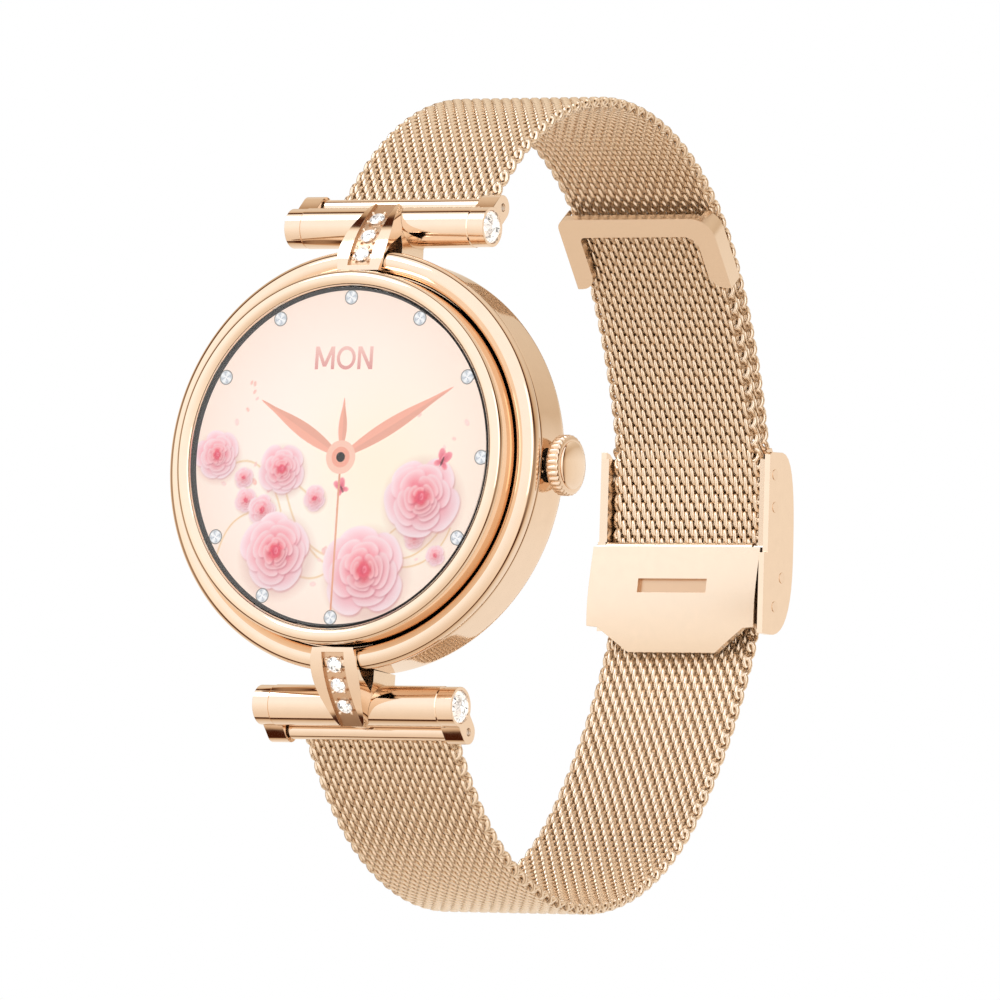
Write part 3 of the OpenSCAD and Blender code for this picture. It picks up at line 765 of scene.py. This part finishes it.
class Art:
    """Flat painted shapes of real outline, laid over the picture at a set depth."""

    def __init__(self):
        self.pts, self.faces, self.colors = [], [], []

    def fan(self, depth, rim, rim_rgb, mid, mid_rgb):
        base, n = len(self.pts), len(rim)
        self.pts.append((mid[0], depth, mid[1]))
        self.colors.append(linear(mid_rgb))
        for x, z in rim:
            self.pts.append((x, depth, z))
            self.colors.append(linear(rim_rgb))
        self.faces += [(base, base + 1 + i, base + 1 + (i + 1) % n) for i in range(n)]

    def build(self, name):
        ob = make(name, self.pts, self.faces, screen, 0)
        fix_normals(ob)
        paint(ob, np.array(self.colors))
        return place(ob, "case", "display")


def ring_of(x, z, rx, rz=None, n=40, turn=0.0):
    """Outline of a circle or a turned oval."""
    c, s = math.cos(turn), math.sin(turn)
    out = []
    for t in np.linspace(0, 2 * math.pi, n + 1)[:-1]:
        a, b = rx * math.cos(t), (rz or rx) * math.sin(t)
        out.append((x + a * c - b * s, z + a * s + b * c))
    return out


def petal(cx, cz, ang, reach, wide, phase, n=30):
    """Outline of a rounded petal from near the heart out to reach, and its middle."""
    c, s = math.cos(math.radians(ang)), math.sin(math.radians(ang))
    mid, out = 0.56 * reach, []
    for a in np.linspace(0, 2 * math.pi, n + 1)[:-1]:
        u = mid + 0.44 * reach * math.cos(a) * (1 + 0.05 * math.sin(3 * a + phase))
        v = wide * reach * math.sin(a) * (1 + 0.18 * math.cos(a)) * (1 + 0.06 * math.sin(2 * a + phase))
        out.append((cx + u * c - v * s, cz + u * s + v * c))
    return out, (cx + mid * c, cz + mid * s)


def rose(art, cx, cz, size, seed):
    """Layers of petals, pale at their rims and deep pink towards the heart."""
    rng = np.random.default_rng(seed)
    shadow = ring_of(cx + 0.07 * size, cz - 0.12 * size, size)
    art.fan(shadow, (206, 150, 146), (cx, cz), (196, 136, 138), 0.4, 0.3 * size)
    layers = ((5, 1.0, 0.50), (5, 0.80, 0.50), (4, 0.63, 0.56),         # petals, reach, width
              (3, 0.47, 0.66), (3, 0.35, 0.70), (2, 0.25, 0.72))
    for k, (count, reach, wide) in enumerate(layers):
        turn = rng.uniform(0, 360)
        for i in range(count):
            ang = turn + 360 * i / count + rng.uniform(-10, 10)
            r1 = size * reach * rng.uniform(0.92, 1.06)
            rim, middle = petal(cx, cz, ang, r1, wide * rng.uniform(0.92, 1.08), rng.uniform(0, 6))
            up = 0.5 + 0.5 * math.cos(math.radians(ang - 110))
            pale = np.array((254, 232 - 7 * k, 236 - 7 * k)) * (0.96 + 0.04 * up)
            deep = np.array((248 - 3 * k, 160 - 19 * k, 172 - 17 * k)) * (0.93 + 0.07 * up)
            dark = [(x + 0.025 * size, z - 0.035 * size) for x, z in rim]
            art.fan(dark, (196, 92, 112), middle, (196, 92, 112), 0.55, 0.06 * size)
            far = np.array([math.hypot(x - cx, z - cz) / r1 for x, z in rim])
            w = np.clip((far - 0.5) / 0.45, 0, 1)[:, None]
            art.fan(rim, deep * (1 - w) + pale * w, middle, deep * 0.9 + pale * 0.1)
    art.fan(ring_of(cx, cz, size * 0.12, size * 0.15), (236, 88, 112), (cx, cz), (214, 44, 84))
    glint = ring_of(cx + 0.02 * size, cz + 0.02 * size, size * 0.05, size * 0.08)
    art.fan(glint, (250, 160, 174), (cx, cz), (226, 66, 98), 0.8)


def drop(art, x, z, size, ang, rgb):
    """A fallen petal: a small oval, lighter in its middle."""
    art.fan(ring_of(x, z, size, size * 0.6, 20, ang), rgb, (x, z), 0.5 * np.array(rgb) + 118, 0.85)


def butterfly(art, x, z, size, ang):
    """Four oval wings and a thin body."""
    for r, a in ((1.0, 115), (1.0, 62), (0.7, 215), (0.7, -35)):
        t = math.radians(a) + ang
        cx, cz = x + size * 0.5 * r * math.cos(t), z + size * 0.5 * r * math.sin(t)
        wing = ring_of(cx, cz, size * 0.55 * r, size * 0.33 * r, 24, t)
        art.fan(wing, (250, 158, 168), (x, z), (222, 80, 110))
    art.fan(ring_of(x, z, size * 0.07, size * 0.42, 16, ang), (96, 44, 54), (x, z), (96, 44, 54))


# The picture: sprays, falling petals, roses and two butterflies
art = Picture()
for ctrl in (((-12, -1), (-9, 1), (-7, -2), (-6, -5)), ((-6, -2), (-5, -5), (-4, -8), (-1, -9)),
             ((-3, -8), (0, -12), (3, -9), (7, -6)), ((-8, -5), (-11, -5), (-12, -7), (-12.5, -9)),
             ((6, -9), (8, -10), (10, -8), (11.5, -6)), ((-6.5, -1), (-5, -2), (-4, -3), (-2.5, -3.8)),
             ((6, -10), (9, -10.5), (11, -9), (12, -6.5)), ((0, -10), (-2, -12), (-4, -11), (-5.5, -10))):
    art.line(bezier(ctrl, 16), 0.075, (232, 196, 140), 0.85)
for i in range(38):
    t, rr = RNG.uniform(-0.6, 3.7) + math.pi, RNG.uniform(7.5, 13.6)
    drop(art, rr * math.cos(t), rr * math.sin(t) + 1.0, RNG.uniform(0.18, 0.38), RNG.uniform(0, 6.28),
         ((248, 186, 178), (246, 164, 146), (250, 204, 198))[i % 3])
for x, z, size, seed in ((-10.2, -1.9, 1.0, 3), (-9.8, -4.0, 1.15, 4), (-8.0, -4.9, 1.45, 5),
                         (-2.5, -3.8, 1.2, 6), (8.3, -7.4, 1.1, 7), (10.6, -9.0, 1.0, 8),
                         (-13.2, 0.2, 2.3, 9), (-6.2, -1.1, 2.4, 10), (8.7, -3.7, 4.0, 11),
                         (-6.3, -8.7, 3.8, 12), (3.2, -10.4, 4.3, 13)):
    rose(art, x, z, size, seed)
butterfly(art, 10.7, -0.4, 1.2, -0.4)
butterfly(art, 0.3, -2.9, 1.0, 0.5)
art.build("dial_picture")

# Hour markers, each a stone in a collet. Five and nine have none.
MARKER_AT = 14.75
marks = Art()
for hour in (12, 1, 2, 3, 4, 6, 7, 8, 10, 11):
    t = math.radians(90 - 30 * hour)
    x, z = MARKER_AT * math.cos(t), MARKER_AT * math.sin(t)
    marks.fan(LAYERS[0], ring_of(x, z, 0.70), (138, 134, 130), (x, z), (190, 188, 186))
    marks.fan(LAYERS[1], ring_of(x, z, 0.60), (214, 218, 222), (x, z), (250, 250, 252))
    for i in range(8):
        u, v = 2 * math.pi * i / 8, 2 * math.pi * (i + 0.62) / 8
        corners = ((0.54, u), (0.54, v), (0.1, v), (0.1, u))
        kite = [(x + a * math.cos(b), z + a * math.sin(b)) for a, b in corners]
        shade = (255, 255, 255) if i % 2 else (168, 176, 186)
        marks.fan(LAYERS[2], kite, shade, (x + 0.3 * math.cos(u), z + 0.3 * math.sin(u)), (232, 237, 244))
marks.build("dial_markers")


def hand(art, ang, length, width):
    """A lancet hand, a little lighter along one half."""
    t = math.radians(90 - ang)
    c, s = math.cos(t), math.sin(t)
    start, neck = 1.1, 0.3
    for side, shade in ((1, 1.0), (-1, 0.955)):
        line = [(start, 0.0), (start, neck * width)]
        for u in np.linspace(0.1, 0.97, 14):
            belly = math.sin(math.pi * min(u * 1.25, 1) * 0.8) * 0.62 * (1 - u) ** 0.55
            line.append((start + (length - start) * u, width * (neck * (1 - u) + belly)))
        line.append((length, 0.0))
        rim = [(a * c - side * b * s, a * s + side * b * c) for a, b in line]
        col = np.array((246, 176, 154)) * shade
        art.fan(LAYERS[3], rim, col, (length * 0.5 * c, length * 0.5 * s), col)


hands = Art()
for ang, length, width in ((301, 10.3, 1.15), (60.5, 13.2, 1.15), (0, 5.5, 0.7)):
    hand(hands, ang, length, width)
seconds = [(-0.1, -1.2), (0.1, -1.2), (0.1, -14.1), (-0.1, -14.1)]
hands.fan(LAYERS[4], seconds, (226, 156, 128), (0, -7), (240, 180, 150))
for k, (rad, rgb) in enumerate(((1.55, (250, 200, 180)), (0.95, (243, 168, 146)), (0.46, (24, 10, 12)))):
    hands.fan(LAYERS[4] - 0.006 * (k + 1), ring_of(0, 0, rad), rgb, (0, 0), rgb)
hands.build("dial_hands")

# The weekday, in plain capitals
CAPS = (8.1, 10.2)     # foot and top


class Letters(Art):
    """Strokes of one width, paler towards the top."""

    def stroke(self, a, b):
        base, n = len(self.pts), len(a)
        depth = FACE_D - 0.02 - 0.001 * (base % 7)     # strokes that cross don't share a depth
        for x, z in list(a) + list(b):
            self.pts.append((x, depth, z))
            w = (z - CAPS[0]) / (CAPS[1] - CAPS[0])
            self.colors.append(linear((224, 154, 150)) * (1 - w) + linear((244, 198, 188)) * w)
        self.faces += [(base + i, base + i + 1, base + n + i + 1, base + n + i) for i in range(n - 1)]

    def bar(self, p, q, half=0.17):
        """A stroke from p at the foot to q at the top, cut level at both ends."""
        sides = [[(x + side * half, z) for x, z in (p, q)] for side in (-1, 1)]
        self.stroke(*sides)


letters = Letters()
foot, top = CAPS
for x in (-3.23, -1.52, 1.27, 2.53):
    letters.bar((x, foot), (x, top))
letters.bar((-2.375, foot + 0.25), (-3.2, top), 0.19)
letters.bar((-2.375, foot + 0.25), (-1.55, top), 0.19)
letters.bar((2.5, foot), (1.3, top), 0.2)
waist = (foot + top) / 2
letters.stroke(ring_of(-0.12, waist, 1.0, 1.08) + [(0.88, waist)],
               ring_of(-0.12, waist, 0.67, 0.75) + [(0.55, waist)])
letters.build("weekday")

# The glass as its outer sheet, so that its buried edge mirrors nothing
sheet_profile = [(0, 0.0), (15.55, 0.0), (15.7, 0.05), (15.7, 0.12), (0, 0.12)]
sheet = lathe("glass_sheet", sheet_profile, glass, TURNS, closed=False)
place(sheet, "case", "cover_glass", "cover_glass")

# The black border printed under the glass
border_profile = [(15.38, 0.70), (15.78, 0.70), (15.78, 1.27), (15.38, 1.27)]
border = lathe("screen_border", border_profile, black_matt, TURNS)
place(border, "case", "gasket_rubber", "glass_gasket")

# ---- Studio ----------------------------------------------------------------

AIM = (0.2, 18.89, -0.24)                          # mm in the row frame, near the middle of the loop
DISTANCE = 1.23                                    # metres
AZIMUTH, ELEVATION, ROLL = 30.12, -6.232, 3.758    # degrees
LENS, SENSOR = 473.04, 36.0

scene = bpy.context.scene
cam_data = bpy.data.cameras.new("camera")
cam_data.sensor_width, cam_data.lens = SENSOR, LENS
cam_data.clip_start, cam_data.clip_end = 0.05, 10
cam = bpy.data.objects.new("camera", cam_data)
scene.collection.objects.link(cam)
stand = Matrix.Translation(Vector(AIM) * MM)
for degrees, axis in ((AZIMUTH, "Z"), (90 - ELEVATION, "X"), (ROLL, "Z")):
    stand = stand @ Matrix.Rotation(math.radians(degrees), 4, axis)
cam.matrix_world = stand @ Matrix.Translation((0, 0, DISTANCE))
scene.camera = cam

FLOOR_HALF, FLOOR_Z = 1.5, -0.16                   # metres
floor_white = plain("floor_white", (0.9, 0.89, 0.88), 0.8, scale=60, bump=0.0, amount=0.01)
floor_corners = [(FLOOR_HALF * x, FLOOR_HALF * y, FLOOR_Z) for x, y in ((-1, -1), (1, -1), (1, 1), (-1, 1))]
floor = make("floor", floor_corners, [(0, 1, 2, 3)], floor_white, convert=False)
floor.visible_glossy = False


def lamp(name, at, size, power):
    """A white soft box aimed at the watch."""
    data = bpy.data.lights.new(name, "AREA")
    data.shape, data.size, data.size_y = "RECTANGLE", size[0], size[1]
    data.energy = power
    ob = bpy.data.objects.new(name, data)
    scene.collection.objects.link(ob)
    aim = (Vector((0, 0.02, 0)) - Vector(at)).to_track_quat("-Z", "Y")
    ob.matrix_world = Matrix.Translation(at) @ aim.to_matrix().to_4x4()
    return ob


lamp("key", (-0.45, -0.55, 0.75), (0.4, 0.4), 1.6)
lamp("fill", (0.9, -0.45, 0.25), (0.3, 0.8), 0.5)
lamp("rim", (0.2, 0.8, 0.5), (0.5, 0.4), 0.9).visible_glossy = False

world = bpy.data.worlds.new("studio")
scene.world = world
world.use_nodes = True
tree = world.node_tree
tree.nodes.clear()
coord = tree.nodes.new("ShaderNodeTexCoord")
split = tree.nodes.new("ShaderNodeSeparateXYZ")
tree.links.new(coord.outputs["Generated"], split.inputs["Vector"])


def math_node(operation, a, b):
    """The sum or product of two values, each a socket or a plain number."""
    nd = tree.nodes.new("ShaderNodeMath")
    nd.operation = operation
    for socket, value in zip(nd.inputs, (a, b)):
        if isinstance(value, float):
            socket.default_value = value
        else:
            tree.links.new(value, socket)
    return nd.outputs["Value"]


# Depth, stretched towards straight up and straight down, so that the dark band thins there
square = math_node("MULTIPLY", split.outputs["Z"], split.outputs["Z"])
stretch = math_node("ADD", math_node("MULTIPLY", square, 2.2), 1.0)
axes = {"Y": math_node("MULTIPLY", split.outputs["Y"], stretch), "Z": split.outputs["Z"]}


def ranged(value, low, high, most=1.0):
    """0 at low, rising to most at high."""
    nd = tree.nodes.new("ShaderNodeMapRange")
    nd.inputs["From Min"].default_value, nd.inputs["From Max"].default_value = low, high
    nd.inputs["To Max"].default_value = most
    tree.links.new(value, nd.inputs["Value"])
    return nd.outputs["Result"]


def mixed(factor, a, b, blend="MIX"):
    """Two colours mixed. Each value is a socket or plain numbers."""
    nd = tree.nodes.new("ShaderNodeMix")
    nd.data_type, nd.blend_type = "RGBA", blend
    for key, value in (("Factor", factor), ("A", a), ("B", b)):
        if isinstance(value, (float, tuple)):
            nd.inputs[key].default_value = value
        else:
            tree.links.new(value, nd.inputs[key])
    return nd.outputs["Result"]


def along(axis, stops):
    """A colour ramp over one component of the direction, from -1 to 1. The first two stops are its ends."""
    ramp = tree.nodes.new("ShaderNodeValToRGB")
    tree.links.new(ranged(axes[axis], -1.0, 1.0), ramp.inputs["Fac"])
    el = ramp.color_ramp.elements
    for k, (pos, col) in enumerate(stops):
        e = el[k] if k < 2 else el.new(pos / 2 + 0.5)
        e.position, e.color = pos / 2 + 0.5, (*col, 1)
    return ramp.outputs["Color"]


# A bright room in front, a dark band round the middle that lifts at the sides, and a warm room behind
DARK = (0.075, 0.02, 0.008)
depth_tone = along("Y", [(-1.0, (1.20, 1.20, 1.20)), (1.0, (0.98, 0.95, 0.90)), (-0.36, (1.26, 1.23, 1.18)),
                         (-0.25, (0.90, 0.74, 0.58)), (-0.18, DARK), (0.15, DARK), (0.26, (0.55, 0.38, 0.24)),
                         (0.5, (0.86, 0.75, 0.62))])
front_rise = along("Z", [(-1.0, (0.72, 0.59, 0.47)), (1.0, (1.0, 1.0, 1.0)), (-0.55, (0.86, 0.77, 0.67)),
                         (-0.2, (0.95, 0.90, 0.84)), (0.15, (1.0, 1.0, 1.0))])
back_rise = along("Z", [(-1.0, (0.80, 0.68, 0.55)), (1.0, (1.0, 0.94, 0.87)), (-0.5, (1.02, 0.98, 0.94)),
                        (0.16, (1.04, 0.99, 0.93)), (0.34, (0.74, 0.62, 0.49)), (0.6, (0.85, 0.75, 0.63))])
y, x_square = split.outputs["Y"], math_node("MULTIPLY", split.outputs["X"], split.outputs["X"])
rise = mixed(ranged(y, -0.2, 0.2), front_rise, back_rise)
lifted = mixed(ranged(x_square, 0.84, 0.99, 0.5), depth_tone, (0.80, 0.64, 0.48, 1))
tone = mixed(1.0, lifted, rise, "MULTIPLY")
reflected = tree.nodes.new("ShaderNodeBackground")
tree.links.new(tone, reflected.inputs["Color"])
seen = node_of(tree, "ShaderNodeBackground", Color=(1, 1, 1, 1), Strength=1.0)
path = tree.nodes.new("ShaderNodeLightPath")
mix = tree.nodes.new("ShaderNodeMixShader")
output = tree.nodes.new("ShaderNodeOutputWorld")
tree.links.new(path.outputs["Is Camera Ray"], mix.inputs["Fac"])
tree.links.new(reflected.outputs["Background"], mix.inputs[1])
tree.links.new(seen.outputs["Background"], mix.inputs[2])
tree.links.new(mix.outputs["Shader"], output.inputs["Surface"])
scene.view_settings.view_transform = "Standard"
